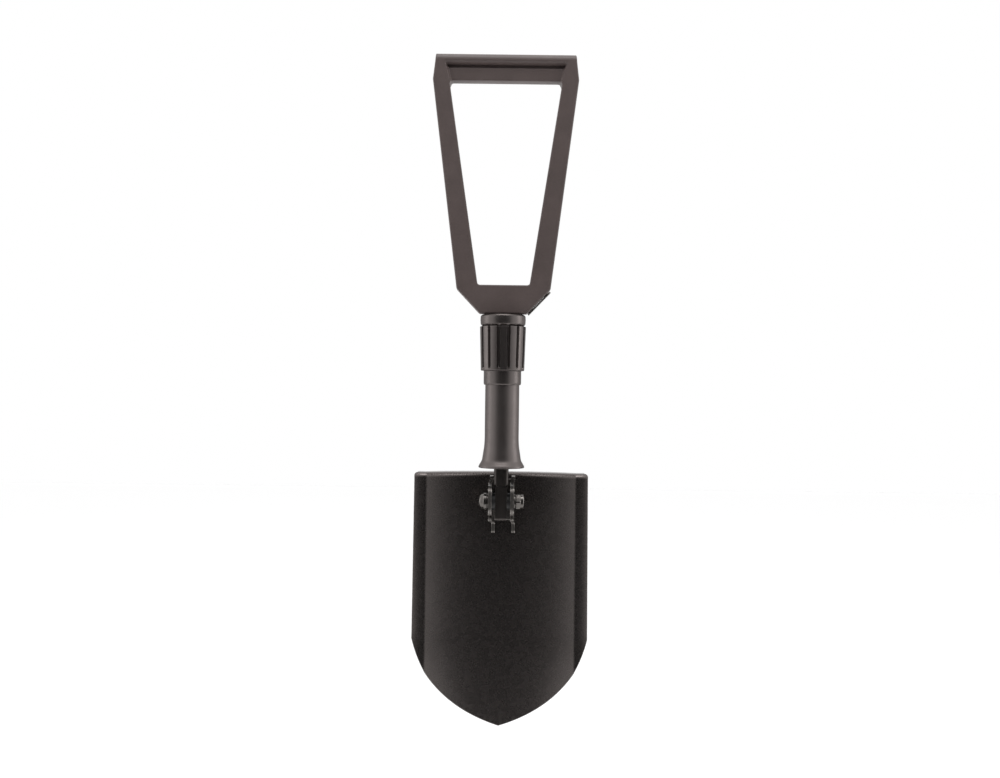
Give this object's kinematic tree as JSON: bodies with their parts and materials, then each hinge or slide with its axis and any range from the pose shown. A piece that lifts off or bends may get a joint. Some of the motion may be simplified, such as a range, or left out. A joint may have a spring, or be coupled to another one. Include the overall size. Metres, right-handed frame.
{
  "type": "folding camp shovel",
  "caption": "Tri-fold camp shovel: pointed dished blade on a bolted hinge, flared tube, fluted lock collar and a fold-back D-handle.",
  "frame": {"origin": "on the shaft's axis, at the middle of the bare stretch of tube between the flare and the lock collar", "axes": "+Z along the shaft towards the handle, -Y towards the concave digging face, X across the blade"},
  "size_m": [0.157, 0.0582, 0.5975],
  "materials": {
    "blade": "satin black powder coat",
    "bracket": "satin black paint",
    "fasteners": "blackened steel",
    "black_plastic": "moulded",
    "nylon": "moulded",
    "bar": "blackened steel",
    "tube": "satin black anodised look",
    "collar": "satin black anodised look",
    "brass": "turned",
    "rubber": "matt",
    "handle": "fine moulded grain"
  },
  "bodies": {
    "tube": {"outer_tube": "tube", "lower_guide": "black_plastic", "threaded_sleeve": "bar"},
    "bar": {"inner_bar": "bar", "thrust_ring": "fasteners", "thrust_pin": "fasteners"},
    "collar": {"lock_collar": "collar", "collar_nut": "brass", "wiper_ring": "rubber", "collar_cap": "collar"},
    "blade_group": {"blade": "blade", "back_plate": "bracket", "hinge_bracket": "bracket", "bracket_rivets": "fasteners", "pivot_bolt": "fasteners", "pivot_washers": "fasteners", "pivot_spacers": "black_plastic", "pivot_nut": "fasteners", "nut_insert": "nylon"},
    "handle_group": {"handle_frame": "handle", "handle_bushes": "brass", "handle_pin": "fasteners", "pin_retainer": "bracket", "retainer_screws": "fasteners"}
  },
  "joints": [
    {"name": "bar_draw", "type": "slide", "parent": "tube", "child": "bar", "axis": [0, 0, 1], "range_m": [0, 0.004]},
    {"name": "collar_turn", "type": "hinge", "parent": "bar", "child": "collar", "pos_m": [0, 0, 0.05], "axis": [0, 0, 1], "range_deg": [0, 720]},
    {"name": "blade_fold", "type": "hinge", "parent": "bar", "child": "blade_group", "pos_m": [0, 0, -0.0834], "axis": [-1, 0, 0], "range_deg": [0, 180]},
    {"name": "handle_fold", "type": "hinge", "parent": "bar", "child": "handle_group", "pos_m": [0, 0, 0.0942], "axis": [-1, 0, 0], "range_deg": [0, 158]}
  ],
  "couplings": [
    {"joint": "collar_turn", "follows": "bar_draw", "rad_per_m": 3141.6}
  ]
}
